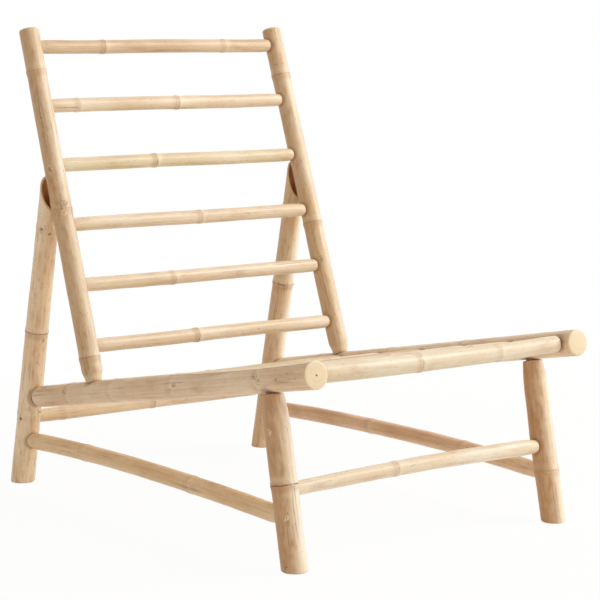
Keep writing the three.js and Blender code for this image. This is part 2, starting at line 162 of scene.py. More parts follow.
slat_low, slat_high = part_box("seat_slat_1")
slat_ends = [rail_point(side, front_bar_setback - slat_pitch) for side in (-1, 1)]
slat_offset = (slat_ends[0] + slat_ends[1]) / 2 - (slat_low + slat_high) / 2
print("slat 1 is off its node by", [round(v / mm, 2) for v in slat_offset], "mm")

# %% [markdown]
# ## One culm
#
# Bamboo grows in joints. At each node the culm swells a little, and a thin scar runs round it where the
# sheath of the leaf was. Between nodes the wall tapers and wanders. A culm could be a curve with a bevel,
# but then its swellings, whittled ends and cut faces would each need another trick. Here a disc is extruded
# from station to station and scaled to the radius there, the way one would draw a vase by hand, so one list
# of stations holds the whole shape.

# %% What a culm is
node_rise = 1.2 * mm
node_reach = 5 * mm
scar_depth = 0.3 * mm
scar_reach = 1.5 * mm
wander_reach = 0.6 * mm
weak_swelling = 0.4


def bell(distance, reach):
    return math.exp(-((distance / reach) ** 2))


def frame_along(start, direction, reference):
    """The frame of a long piece: Z runs along it, and X lies as near to the reference as it can."""
    side = (reference - direction * reference.dot(direction)).normalized()
    turn = Matrix((side, direction.cross(side), direction)).transposed()
    return Matrix.Translation(start) @ turn.to_4x4()


class Culm:
    """A culm along an axis. In its own frame Z runs along it, and X points up, or forwards if it stands.

    Its diameters, bow and lift are given in millimetres. The bow moves its middle towards X, and the lift
    its start. Its rings are its nodes, each a share of the length with a strength from 0 to 1."""

    def __init__(self, name, finish, start, end, diameters, rings, ends, bow=0, lift=0):
        self.name = name
        self.finish = finish
        self.length = (end - start).length
        self.direction = (end - start).normalized()
        self.diameters = [diameter * mm for diameter in diameters]
        self.rings = [(share * self.length, strength) for share, strength in rings]
        self.ends = ends
        self.bow = bow * mm
        self.lift = lift * mm
        stands = abs(self.direction.z) > math.sqrt(0.5)
        self.frame = frame_along(start, self.direction, forwards if stands else up)
        dice = random.Random(name)
        self.phases = [dice.random() for _ in range(4)]

    def plain_radius(self, z):
        share = z / self.length
        return (self.diameters[0] * (1 - share) + self.diameters[1] * share) / 2

    def radius(self, z):
        swelling = scar = 0
        for ring, strength in self.rings:
            swelling += bell(z - ring, node_reach) * (weak_swelling + (1 - weak_swelling) * strength)
            scar += bell(z - ring, scar_reach) * strength
        return self.plain_radius(z) + swelling * node_rise - scar * scar_depth

    def centre(self, z):
        """The middle of the culm, which sways round its axis in about one wave each way."""
        share = min(max(z / self.length, 0), 1)
        wander = wander_reach * math.sin(math.pi * share)
        waves = [(0.8 + 0.5 * more, shift) for more, shift in zip(self.phases, self.phases[2:])]
        sway = [math.sin(math.tau * (share * count + shift)) for count, shift in waves]
        across = 4 * self.bow * share * (1 - share) + self.lift * (1 - share)
        return Vector((across + wander * sway[0], wander * sway[1], z))

    def axis_point(self, z):
        return self.frame @ Vector((0, 0, z))

    def along(self, point):
        return (point - self.frame.translation).dot(self.direction)

    def skin_point(self, share, degrees):
        """A place on the straightened skin in the culm's own frame, at an angle round it from X to Y."""
        angle = math.radians(degrees)
        z = share * self.length
        return Vector((math.cos(angle), math.sin(angle), 0)) * self.plain_radius(z) + Vector((0, 0, z))


culms = {}


def add_culm(name, *sizes, **more):
    culms[name] = Culm(name, *sizes, **more)


print("a node stands", node_rise / mm, "mm proud")

# %% [markdown]
# ## How a culm ends
#
# Four ends occur on this chair. A tenon is whittled down to a round peg, and behind it the culm keeps a
# blunt nose that butts against its host. A cut end is sawn square and its edge rubbed round. A foot and a
# slashed top are first left too long, and are cut later by a plane and by the neighbour that they lean on.

# %% Stations of each kind of end, from the tip inwards, as depth and radius
joint_gap = 0.3 * mm
peg_chamfer = 3 * joint_gap
shoulder_steps = 7
edge_steps = 5
pith_radius = 1.3 * mm
pith_depth = 5 * mm
disc_shares = (0.1, 0.35, 0.6, 0.8, 1.0)


def quarter(steps):
    """Sine and one minus cosine on the way through a quarter circle."""
    angles = [step / steps * math.pi / 2 for step in range(1, steps + 1)]
    return [(math.sin(angle), 1 - math.cos(angle)) for angle in angles]


class Tenon:
    """A round peg in a host culm, then a blunt nose that sits in the host's surface, then the shoulder.

    The peg stops short of the host's axis, or past it where the stop is below zero."""

    def __init__(self, host, peg, nose, stop, shoulder, edge=4 * mm, housing=2.5 * mm):
        self.host = host
        self.radius = peg / 2
        self.nose = nose / 2
        self.stop = stop
        self.shoulder = shoulder
        self.edge = edge
        self.housing = housing

    def surface(self, culm, point):
        """How far the host's surface is from the host's axis, along the peg."""
        host = culms[self.host]
        reach = host.plain_radius(host.along(point)) + joint_gap
        return reach / math.sin(culm.direction.angle(host.direction))

    def root(self, culm, point):
        """How far from the host's axis the nose begins."""
        turn = culm.direction.angle(culms[self.host].direction)
        return self.surface(culm, point) + abs(self.radius / math.tan(turn)) - self.housing

    def stations(self, culm, point, body_radius):
        root = self.root(culm, point)
        body = body_radius(root + self.shoulder)
        found = [(self.stop, self.radius - peg_chamfer), (self.stop + peg_chamfer, self.radius)]
        found.append((root, self.radius))
        for sine, rest in quarter(edge_steps):
            found.append((root + self.edge * rest, self.radius + (self.nose - self.radius) * sine))
        for step in range(1, shoulder_steps + 1):
            share = step / shoulder_steps
            depth = root + self.edge + (self.shoulder - self.edge) * share
            found.append((depth, self.nose + (body - self.nose) * math.sin(share * math.pi / 2)))
        return found


class CutEnd:
    """A sawn end with a rubbed edge, a little domed, and with a pit where the pith shows."""

    def __init__(self, edge, dome, pit):
        self.edge = edge
        self.dome = dome
        self.pit = pit

    def stations(self, culm, point, body_radius):
        rim = body_radius(0)
        flat = rim - self.edge
        found = [(pith_depth, pith_radius / 2), (pith_radius / 2, pith_radius)] if self.pit else []
        for share in disc_shares:
            found.append((self.dome * share**2, flat * share))
        for sine, rest in quarter(edge_steps):
            found.append((self.dome + self.edge * rest, flat + self.edge * sine))
        return found


class LongEnd:
    """An end that runs on past its mark, to be cut by something else."""

    overrun = 20 * mm

    def stations(self, culm, point, body_radius):
        return [(-self.overrun, body_radius(0)), (0, body_radius(0))]


print("kinds of end:", Tenon.__name__, CutEnd.__name__, LongEnd.__name__)

# %% The poles of the two sides
def in_mm(**sizes):
    """Sizes written in millimetres, turned into metres."""
    return {name: size * mm for name, size in sizes.items()}


sides = {"left": -1, "right": 1}
stile_rings = {
    "left": ((0.092, 0.7), (0.494, 0.45), (0.516, 0.2), (0.878, 0.5)),
    "right": ((0.413, 0.6), (0.856, 0.7)),
}
rear_leg_rings = {
    "left": ((0.232, 0.4), (0.503, 0.9), (0.836, 0.3)),
    "right": ((0.288, 0.5), (0.591, 1.0), (0.853, 0.5)),
}
front_leg_rings = {"left": ((0.45, 1.0),), "right": ((0.292, 0.5),)}
rail_rings = {
    "left": ((0.177, 0.4), (0.347, 0.5), (0.564, 0.4), (0.845, 0.5)),
    "right": ((0.2, 0.6), (0.44, 0.5), (0.68, 0.7)),
}
side_stretcher_rings = {"left": ((0.263, 0.5), (0.678, 0.6)), "right": ((0.414, 0.6), (0.739, 0.4))}
side_stretcher_diameter = {"left": 28.5, "right": 27}
side_stretcher_bow = {"left": 9, "right": 11}
rail_end = {"left": CutEnd(2.6 * mm, 0.4 * mm, True), "right": CutEnd(3.4 * mm, 1 * mm, False)}
stile_end = CutEnd(3.6 * mm, 1.4 * mm, False)

# How far short of its host's axis a peg stops, in millimetres. A pinned peg runs past the axis.
loose_stop = 3
pinned_stop = -8
rail_tenon = in_mm(peg=24, nose=33, stop=loose_stop, shoulder=20)
stile_tenon = in_mm(peg=21, nose=29, stop=5, shoulder=24, edge=9, housing=5)
leg_tenon = in_mm(peg=21, nose=32, stop=5, shoulder=55, edge=1.6, housing=0.4)
stretcher_rear_tenon = in_mm(peg=17.5, nose=25, stop=loose_stop, shoulder=30, edge=2)
stretcher_front_tenon = {**stretcher_rear_tenon, **in_mm(stop=pinned_stop, housing=6)}

for word, side in sides.items():
    rail, rear_leg, front_leg = (f"{word}_{pole}" for pole in ("side_rail", "rear_leg", "front_leg"))
    add_culm(
        rear_leg, "leg", rear_leg_point(side, 0), rear_leg_top(side), (42.4, 36.5),
        rear_leg_rings[word], (LongEnd(), LongEnd()),
    )
    add_culm(
        rail, "rail", rail_point(side, 0), rail_point(side, leg_spacing + rail_nose), (37, 42.5),
        rail_rings[word], (Tenon(rear_leg, **rail_tenon), rail_end[word]),
    )
    add_culm(
        f"{word}_stile", "stile", stile_point(side, 0), stile_point(side, stile_length), (35.5, 34),
        stile_rings[word], (Tenon(rail, **stile_tenon), stile_end),
    )
    add_culm(
        front_leg, "leg", front_leg_point(side, 0), rail_point(side, leg_spacing), (41, 40),
        front_leg_rings[word], (LongEnd(), Tenon(rail, **leg_tenon)),
    )
    add_culm(
        f"{word}_side_stretcher", "stretcher", rear_leg_point(side, side_stretcher_rear_height),
        front_leg_point(side, side_stretcher_front_height), [side_stretcher_diameter[word]] * 2,
        side_stretcher_rings[word],
        (Tenon(rear_leg, **stretcher_rear_tenon), Tenon(front_leg, **stretcher_front_tenon)),
        bow=side_stretcher_bow[word],
    )
print(len(culms), "culms on the two sides")

# %% The poles across the chair
rung_rings = [
    ((0.273, 0.7), (0.769, 0.5)),
    ((0.129, 0.4), (0.526, 0.7)),
    ((0.391, 0.9),),
    ((0.526, 0.6),),
    ((0.371, 0.6),),
    ((0.419, 1.0),),
]
slat_rings = [((0.35, 0.5), (0.8, 0.6)), ((0.2, 0.5), (0.65, 0.7)), ((0.52, 0.6),), ((0.3, 0.6), (0.75, 0.5))]
rung_tenon = in_mm(peg=17, nose=22, stop=pinned_stop, shoulder=18)
slat_tenon = in_mm(peg=19, nose=24, stop=pinned_stop, shoulder=18)
front_bar_tenon = in_mm(peg=20, nose=26, stop=pinned_stop, shoulder=20, edge=1.8, housing=-1)
rear_bar_tenon = in_mm(peg=20, nose=27, stop=12, shoulder=20)
front_stretcher_tenon = in_mm(peg=17.5, nose=22, stop=pinned_stop, shoulder=34)
rear_stretcher_tenon = {**front_stretcher_tenon, **in_mm(stop=loose_stop)}
snug_left = in_mm(edge=1.5, housing=7)
least_nose_step = 1 * mm


def add_cross_culm(name, finish, host, point_on, along, diameters, rings, tenon, **more):
    """A pole between the two sides. Its left end is sunk deeper, so that no dark line shows round it."""
    snug_nose = min(tenon["nose"], diameters[0] * mm - least_nose_step)
    snug_tenon = {**tenon, **snug_left, "nose": snug_nose}
    ends = (Tenon(f"left_{host}", **snug_tenon), Tenon(f"right_{host}", **tenon))
    add_culm(name, finish, point_on(-1, along), point_on(1, along), diameters, rings, ends, **more)


for i, rings in enumerate(rung_rings):
    rise = stile_length - first_rung_drop - rung_pitch * i
    add_cross_culm(f"back_rung_{i + 1}", "rung", "stile", stile_point, rise, (24, 24), rings, rung_tenon)
for i, rings in enumerate(slat_rings):
    setback = front_bar_setback - slat_pitch * (i + 1)
    add_cross_culm(f"seat_slat_{i + 1}", "rung", "side_rail", rail_point, setback, (26, 26), rings, slat_tenon)
add_cross_culm(
    "seat_front_bar", "rung", "side_rail", front_bar_point, front_bar_setback, (30.5, 27),
    ((0.404, 0.6), (0.714, 0.4)), front_bar_tenon, bow=-4,
)
add_cross_culm(
    "seat_rear_bar", "rung", "side_rail", rail_point, rear_bar_setback, (31, 31),
    ((0.42, 0.6),), rear_bar_tenon,
)
add_cross_culm(
    "front_stretcher", "stretcher", "front_leg", front_leg_point, front_stretcher_height, (22, 26),
    ((0.401, 0.6),), front_stretcher_tenon, bow=3.5, lift=-5,
)
add_cross_culm(
    "rear_stretcher", "stretcher", "rear_leg", rear_leg_point, rear_stretcher_height, (24.6, 24.6),
    ((0.13, 0.4), (0.488, 0.7)), rear_stretcher_tenon,
)
print(len(culms), "culms in all")

# %% [markdown]
# ## Growing the culms
#
# The stations along the body lie close together at a node, where the shape turns quickly, and far apart
# between nodes. After the disc has been drawn out, a weak Displace modifier with a cloud texture takes away
# the look of a turned dowel. It only takes wood away, so the finer chair stays within the plain one.

# %% Stations of a whole culm
body_pitch = 9 * mm
node_station_count = 9
node_station_reach = 14 * mm


def body_depths(culm, low, high):
    """Places along the body: evenly spread, but crowded at the nodes."""
    crowded = []
    for ring, _ in culm.rings:
        for i in range(-node_station_count, node_station_count + 1):
            share = i / node_station_count
            crowded.append(ring + math.copysign(share * share, share) * node_station_reach)
    count = round((high - low) / body_pitch)
    spread = [low + (high - low) * i / count for i in range(1, count)]
    far = [z for z in spread if all(abs(z - ring) > node_station_reach for ring, _ in culm.rings)]
    return sorted(z for z in crowded + far if low < z < high)


def stations(culm):
    """The whole outline as places in the culm's frame, each with its radius."""
    points = (culm.axis_point(0), culm.axis_point(culm.length))
    first = culm.ends[0].stations(culm, points[0], culm.radius)
    last = culm.ends[1].stations(culm, points[1], lambda depth: culm.radius(culm.length - depth))
    last = [(culm.length - depth, radius) for depth, radius in reversed(last)]
    body = [(z, culm.radius(z)) for z in body_depths(culm, first[-1][0], last[0][0])]
    return [(culm.centre(z), radius) for z, radius in first + body + last]


print("the left rail has", len(stations(culms["left_side_rail"])), "stations")

# %% Draw a disc out from station to station
culm_sides = 48


def deselect():
    """Leaves nothing selected, since every operator acts on all that is."""
    bpy.ops.object.select_all(action="DESELECT")


def only(piece):
    deselect()
    piece.select_set(True)
    bpy.context.view_layer.objects.active = piece


def draw_out(name, matrix, outline, disc_sides):
    """A closed round piece: a disc extruded from place to place and scaled to each radius."""
    deselect()
    place, radius = outline[0]
    bpy.ops.mesh.primitive_circle_add(
        vertices=disc_sides, radius=radius, fill_type="NGON",
        location=matrix @ place, rotation=matrix.to_euler(),
    )
    piece = bpy.context.object
    piece.name = name
    bpy.ops.object.mode_set(mode="EDIT")
    for next_place, next_radius in outline[1:]:
        move = matrix.to_3x3() @ (next_place - place)
        bpy.ops.mesh.extrude_region_move(TRANSFORM_OT_translate={"value": move, "orient_type": "GLOBAL"})
        bpy.ops.transform.resize(value=[next_radius / radius] * 3)
        place, radius = next_place, next_radius
    bpy.ops.mesh.select_all(action="SELECT")
    bpy.ops.mesh.normals_make_consistent(inside=False)
    bpy.ops.object.mode_set(mode="OBJECT")
    bpy.ops.object.transform_apply()
    return piece


def apply_modifier(piece, kind, **settings):
    only(piece)
    modifier = piece.modifiers.new(kind.lower(), kind)
    for setting, value in settings.items():
        setattr(modifier, setting, value)
    bpy.ops.object.modifier_apply(modifier=modifier.name)


# %% Grow them all
lump_size = 45 * mm
lump_height = 0.9 * mm
lump_level = 0.85
lumps = bpy.data.textures.new("culm_lumps", "CLOUDS")
lumps.noise_scale = lump_size

pieces = {}
for name, culm in culms.items():
    piece = draw_out(f"{name}_culm", culm.frame, stations(culm), culm_sides)
    apply_modifier(
        piece, "DISPLACE", texture=lumps, strength=lump_height, mid_level=lump_level, texture_coords="LOCAL"
    )
    pieces[name] = piece
print("grew", len(pieces), "culms with", sum(len(p.data.vertices) for p in pieces.values()), "vertices")

# %% [markdown]
# ## Mortises, holes and cuts
#
# A chair maker bores each mortise for its own tenon, so each one is cut here with the very culm that fits
# it, swollen by the play of a hand-made joint, which shows as a thin dark line. A Displace modifier without
# a texture does the swelling: it moves every point out along its normal. All guests of one host are joined
# into one tool, and a Boolean modifier takes the tool away.

# %% Tools for a boolean cut
def copy_of(piece, name):
    only(piece)
    bpy.ops.object.duplicate()
    twin = bpy.context.object
    twin.name = name
    return twin


def join(tools):
    deselect()
    for tool in tools:
        tool.select_set(True)
    bpy.context.view_layer.objects.active = tools[0]
    bpy.ops.object.join()
    return tools[0]


def add_block(**place):
    """A block with its place in its mesh."""
    deselect()
    bpy.ops.mesh.primitive_cube_add(**place)
    bpy.ops.object.transform_apply()
    return bpy.context.object


def cut_away(piece, tools):
    """Takes all the tools away from the piece, and throws them away."""
    tool = join(tools)
    apply_modifier(piece, "BOOLEAN", operation="DIFFERENCE", solver="MANIFOLD", object=tool)
    bpy.data.objects.remove(tool)


# %% [markdown]
# The screws pin the tenons crosswise, from behind, from below or from the right, so that hardly any shows
# from the front. Only the rear stretcher, the rear ends of the side stretchers and of the rails are held
# along their axes, through the rear leg. The two at the rear stretcher slant a little towards the front.

# %% Where the screws are
screw_head = 5 * mm
screw_head_height = 2 * mm
screw_shank = 3.5 * mm
screw_point = 4 * mm
screw_recess = 2 * mm
rear_stretcher_slant = math.radians(16)


class Screw:
    """A screw along Z of its own frame, with the top of its head at the origin. Its length is in mm."""

    def __init__(self, name, top, outward, length, through):
        self.name = name
        self.length = length * mm
        self.through = through
        self.frame = frame_along(top, outward, up if abs(outward.x) > math.sqrt(0.5) else right)


screws = []


def add_host_screw(culm, end, end_word, length, outward):
    """A screw whose head is sunk in the host of a tenon, on the side that faces outward."""
    host = culms[culm.ends[end].host]
    point = culm.axis_point(culm.length * end)
    surface = host.plain_radius(host.along(point)) / math.sin(outward.angle(host.direction))
    top = point + outward * (surface - screw_recess)
    screws.append(Screw(f"{culm.name}_{end_word}_screw", top, outward, length, (culm.name, host.name)))


def add_axial_screw(name, end, end_word, length, slant=0.0):
    culm = culms[name]
    slope = 4 * culm.bow / culm.length
    outward = culm.frame.to_3x3() @ -Vector((slope, 0, -1 if end else 1)).normalized()
    outward = (outward * math.cos(slant) + forwards * math.sin(slant)).normalized()
    add_host_screw(culm, end, end_word, length, outward)


def add_pin(name, end, end_word, length, reference):
    culm = culms[name]
    outward = culm.direction.cross(culms[culm.ends[end].host].direction).normalized()
    add_host_screw(culm, end, end_word, length, outward * math.copysign(1, outward.dot(reference)))


pins = [(f"back_rung_{i + 1}", 27, -forwards) for i in range(rung_count)]
pins += [(f"seat_slat_{i + 1}", 30, -up) for i in range(slat_count)]
pins += [("seat_front_bar", 30, -up), ("front_stretcher", 31, -forwards)]
for end, word in enumerate(sides):
    for name, length, reference in pins:
        add_pin(name, end, word, length, reference)
    add_pin(f"{word}_side_stretcher", 1, "front", 31, right)
    add_axial_screw(f"{word}_side_stretcher", 0, "rear", 42)
    add_axial_screw(f"{word}_side_rail", 0, "rear", 48)
    add_axial_screw("rear_stretcher", end, word, 38, rear_stretcher_slant)
print(len(screws), "screws through tenons")

# %% The screw at each rear leg's tip, square to the back of the leg
tip_inset = 6.2 * mm
tip_recess = 0.8 * mm
tip_offset = 3 * mm
tip_screw_length = 20
for word in sides:
    leg = culms[f"{word}_rear_leg"]
    stile = culms[f"{word}_stile"]
    leg_radius = leg.diameters[1] / 2
    stile_radius = stile.plain_radius(leg_joint_rise)
    tip_depth = (stile_radius + joint_gap - leg_radius * math.cos(apex_angle)) / math.sin(apex_angle)
    outward = leg.direction.cross(right).normalized()
    top = leg.axis_point(leg.length - tip_depth - tip_inset)
    top += outward * (leg_radius - tip_recess) + right * tip_offset
    screws.append(Screw(f"{leg.name}_top_screw", top, outward, tip_screw_length, (leg.name, stile.name)))
missing = [screw.name for screw in screws if screw.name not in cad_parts]
print(len(screws), "screws, not in the model:", missing)

# %% Bore and slash the tops of the rear legs
culm_wall = 3.5 * mm
bore_depth = 92 * mm
tool_reach = 0.4
slash_heel = 34 * mm
# A slash runs along the back of its stile, but the left one opens a little, and the right one closes.
slash_turns = {"left_rear_leg": math.radians(-2.5), "right_rear_leg": math.radians(3)}
stile_back = Vector((0, math.cos(stile_lean), -math.sin(stile_lean)))


def bore_radius(leg):
    return leg.diameters[1] / 2 - culm_wall


def slash_normal(leg):
    return Matrix.Rotation(slash_turns[leg.name], 3, "X") @ stile_back


def slash_contact(leg):
    """The heel of the slash, where the leg lies against the back of its stile."""
    stile = culms[leg.name.replace("rear_leg", "stile")]
    heel = leg.axis_point(leg.length) - stile_direction * slash_heel
    return heel + stile_back * (stile.plain_radius(leg_joint_rise) + joint_gap)


def bore_tool(leg):
    """The hollow of the culm: a long plug with a rounded floor, like the last node's wall."""
    radius = bore_radius(leg)
    floor = leg.length - bore_depth
    outline = [(Vector((0, 0, floor + radius / 2 * rest)), radius * sine) for sine, rest in quarter(edge_steps)]
    outline.append((Vector((0, 0, leg.length + tool_reach)), radius))
    return draw_out("bore", leg.frame, outline, culm_sides)


def slash_tool(leg):
    """A block whose one face is the slash."""
    normal = slash_normal(leg)
    turn = Matrix((right, normal, right.cross(normal))).transposed()
    middle = slash_contact(leg) - normal * tool_reach / 2
    return add_block(size=tool_reach, location=middle, rotation=turn.to_euler())


print("the bores are", round(2 * bore_radius(culms["left_rear_leg"]) / mm, 1), "mm wide")


# %% [markdown]
# The top of the left rail is shaved flat over its front half, in a long pale lens. A planed lens is what is
# left when a very long, slim egg is taken out of the rail, so the tool is a stretched sphere, and the skin's
# material can later tell the shaved wood from the skin by the same egg.

# %% The shaved lens on the left rail
egg_sides = 64
egg_rings = 96


class Egg:
    """A stretched sphere in a culm's own frame: half its height, width and length, and how it lies."""

    def __init__(self, culm, share, degrees, depth, halves):
        self.angle = math.radians(degrees)
        self.halves = halves
        self.z = share * culm.length
        self.x = culm.plain_radius(self.z) - depth + halves[0]
        self.matrix = culm.frame @ Matrix.Rotation(self.angle, 4, "Z") @ Matrix.Translation((self.x, 0, self.z))

    def tool(self):
        deselect()
        bpy.ops.mesh.primitive_uv_sphere_add(segments=egg_sides, ring_count=egg_rings, radius=1)
        tool = bpy.context.object
        tool.data.transform(self.matrix @ Matrix.Diagonal((*self.halves, 1)))
        return tool


shaved = {"left_side_rail": Egg(culms["left_side_rail"], 0.745, 13, 2.5 * mm, (30 * mm, 70 * mm, 520 * mm))}
for name, egg in shaved.items():
    cut_away(pieces[name], [egg.tool()])
    print(name, "is shaved")

# %% Cut every mortise
play = 0.5 * mm


def tenons(culm):
    """Each tenon of a culm, between 0 or 1 for its end and the place where the culm's axis ends."""
    found = [(i, end) for i, end in enumerate(culm.ends) if isinstance(end, Tenon)]
    return [(i, end, culm.axis_point(culm.length * i)) for i, end in found]


guests = {name: [] for name in culms}
for name, culm in culms.items():
    for _, tenon, _ in tenons(culm):
        guests[tenon.host].append(name)
for word in sides:
    guests[f"{word}_rear_leg"].append(f"{word}_stile")

swollen = {}
for name, piece in pieces.items():
    swollen[name] = copy_of(piece, f"{name}_room")
    apply_modifier(swollen[name], "DISPLACE", strength=play, mid_level=0)

for host, names in guests.items():
    if names:
        cut_away(pieces[host], [copy_of(swollen[name], "guest") for name in names])
for word in sides:
    leg = culms[f"{word}_rear_leg"]
    cut_away(pieces[leg.name], [bore_tool(leg)])
    cut_away(pieces[leg.name], [slash_tool(leg)])
for tool in swollen.values():
    bpy.data.objects.remove(tool)
print("mortises cut in", sum(1 for names in guests.values() if names), "hosts")

# %% Drill the screw holes
screw_sides = 24
hole_reach = 12 * mm


def drill_tool(screw):
    head = screw_head / 2 + joint_gap
    shank = screw_shank / 2 + joint_gap
    outline = [
        (-screw.length - joint_gap, joint_gap),
        (screw_point - screw.length, shank),
        (-screw_head_height, shank),
        (0, head),
        (hole_reach, head),
    ]
    outline = [(Vector((0, 0, z)), radius) for z, radius in outline]
    return draw_out("drill", screw.frame, outline, screw_sides)


drills = {name: [] for name in culms}
for screw in screws:
    for name in screw.through:
        drills[name].append(drill_tool(screw))
for name, tools in drills.items():
    if tools:
        cut_away(pieces[name], tools)
print("drilled", sum(1 for screw in screws for _ in screw.through), "holes")

# %% Saw the feet level with the floor
foot_edge = 2.6 * mm
foot_steps = 4
foot_weld = 0.3 * mm


def saw_foot(leg):
    """Cuts a leg off just above the floor, and draws the cut down to the floor in ever smaller rings."""
    only(pieces[leg.name])
    bpy.ops.object.mode_set(mode="EDIT")
    bpy.ops.mesh.select_all(action="SELECT")
    bpy.ops.mesh.bisect(plane_co=(0, 0, foot_edge), plane_no=(0, 0, 1), clear_inner=True)
    bpy.ops.mesh.remove_doubles(threshold=foot_weld)
    height = foot_edge
    width = 1
    for sine, rest in quarter(foot_steps):
        lower = foot_edge * (1 - sine)
        narrower = 1 - foot_edge * rest / (leg.diameters[0] / 2)
        centre = leg.axis_point((lower - leg.axis_point(0).z) / leg.direction.z)
        bpy.ops.mesh.extrude_edges_move(
            TRANSFORM_OT_translate={"value": leg.direction * ((lower - height) / leg.direction.z)}
        )
        bpy.ops.transform.resize(value=(narrower / width, narrower / width, 1), center_override=centre)
        height = lower
        width = narrower
    bpy.ops.mesh.edge_face_add()
    bpy.ops.object.mode_set(mode="OBJECT")
    for vertex in pieces[leg.name].data.vertices:
        vertex.co.z = max(vertex.co.z, 0)


for word in sides:
    saw_foot(culms[f"{word}_rear_leg"])
    saw_foot(culms[f"{word}_front_leg"])
lowest = min(v.co.z for piece in pieces.values() for v in piece.data.vertices)
print("the feet end at", round(lowest / mm, 3), "mm")

# %% [markdown]
# ## The screws
#
# The screws are sunk below the skin, so all that shows is a steel head at the bottom of a small hole. One
# of each length is drawn out with its cone and core, a cross is cut in its head, and the rest are copies.

# %% Model one screw of each length and copy it
thread_rise = 0.3 * mm
thread_pitch = 1.8 * mm


def screw_outline(length):
    """The point, the ridges of the thread, the plain shank and the head."""
    shank = screw_shank / 2
    core = shank - thread_rise
    thread_end = -length / 3
    z = screw_point - length
    outline = [(-length, core / 4), (z, core)]
    while z + thread_pitch < thread_end:
        for share, radius in ((0.4, core), (0.6, shank), (0.8, core)):
            outline.append((z + thread_pitch * share, radius))
        z += thread_pitch
    outline += [(thread_end, shank), (-screw_head_height, shank), (-thread_rise, screw_head / 2)]
    outline.append((0, screw_head / 2 - thread_rise / 2))
    return [(Vector((0, 0, z)), radius) for z, radius in outline]


def cross_tool():
    """Two crossed bars that leave a cross recess in the head."""
    long_side = screw_head * 0.6
    thin_side = screw_head * 0.14
    depth = screw_head_height * 1.2
    cross = ((long_side, thin_side, depth), (thin_side, long_side, depth))
    return join([add_block(size=1, scale=bar) for bar in cross])


screw_models = {}
for screw in screws:
    if screw.length not in screw_models:
        model = draw_out("screw", Matrix(), screw_outline(screw.length), screw_sides // 2)
        cut_away(model, [cross_tool()])
        screw_models[screw.length] = model
    piece = copy_of(screw_models[screw.length], f"{screw.name}_steel")
    piece.data.transform(screw.frame)
    pieces[screw.name] = piece
for model in screw_models.values():
    bpy.data.objects.remove(model)
print("modelled", len(screw_models), "lengths of screw for", len(screws), "places")

# %% Smooth the skins, keep the cuts crisp
crisp_angle = math.radians(34)
for piece in pieces.values():
    only(piece)
    bpy.ops.object.shade_smooth_by_angle(angle=crisp_angle)
print(sum(len(p.data.polygons) for p in pieces.values()), "faces in all")

# %% [markdown]
# ## Shader sums
#
# A procedural material is a long sum of masks. Written as nodes by hand it is hard to read, so a small class
# wraps a socket and lets Python's own signs add the Math nodes. Any other node comes from one method.

# %% Sockets that can be written in sums
def math_node(operation, reflected=False):
    """A method of Value that adds a Math node. Reflected, the value comes second, as in 1 - mask."""

    def add(self, other=0):
        first, second = (other, self) if reflected else (self, other)
        return self.shader.node("ShaderNodeMath", {"operation": operation}, {0: first, 1: second})

    return add


class Value:
    """The output of a shader node, to be used like a number."""

    def __init__(self, shader, socket):
        self.shader = shader
        self.socket = socket

    __add__, __radd__ = math_node("ADD"), math_node("ADD", reflected=True)
    __sub__, __rsub__ = math_node("SUBTRACT"), math_node("SUBTRACT", reflected=True)
    __mul__, __rmul__ = math_node("MULTIPLY"), math_node("MULTIPLY", reflected=True)
    __truediv__, __pow__ = math_node("DIVIDE"), math_node("POWER")
    __abs__, largest = math_node("ABSOLUTE"), math_node("MAXIMUM")

    def fade(self, low, high):
        """0 at low, 1 at high, and a soft slope between them. High may lie below low."""
        ranges = {1: low, 2: high, 3: 0.0, 4: 1.0}
        return self.shader.node("ShaderNodeMapRange", {"interpolation_type": "SMOOTHSTEP"}, {0: self, **ranges})

    def near(self, centre, reach):
        """1 at the centre, 0 from the reach outwards."""
        return abs(self - centre).fade(reach, 0)


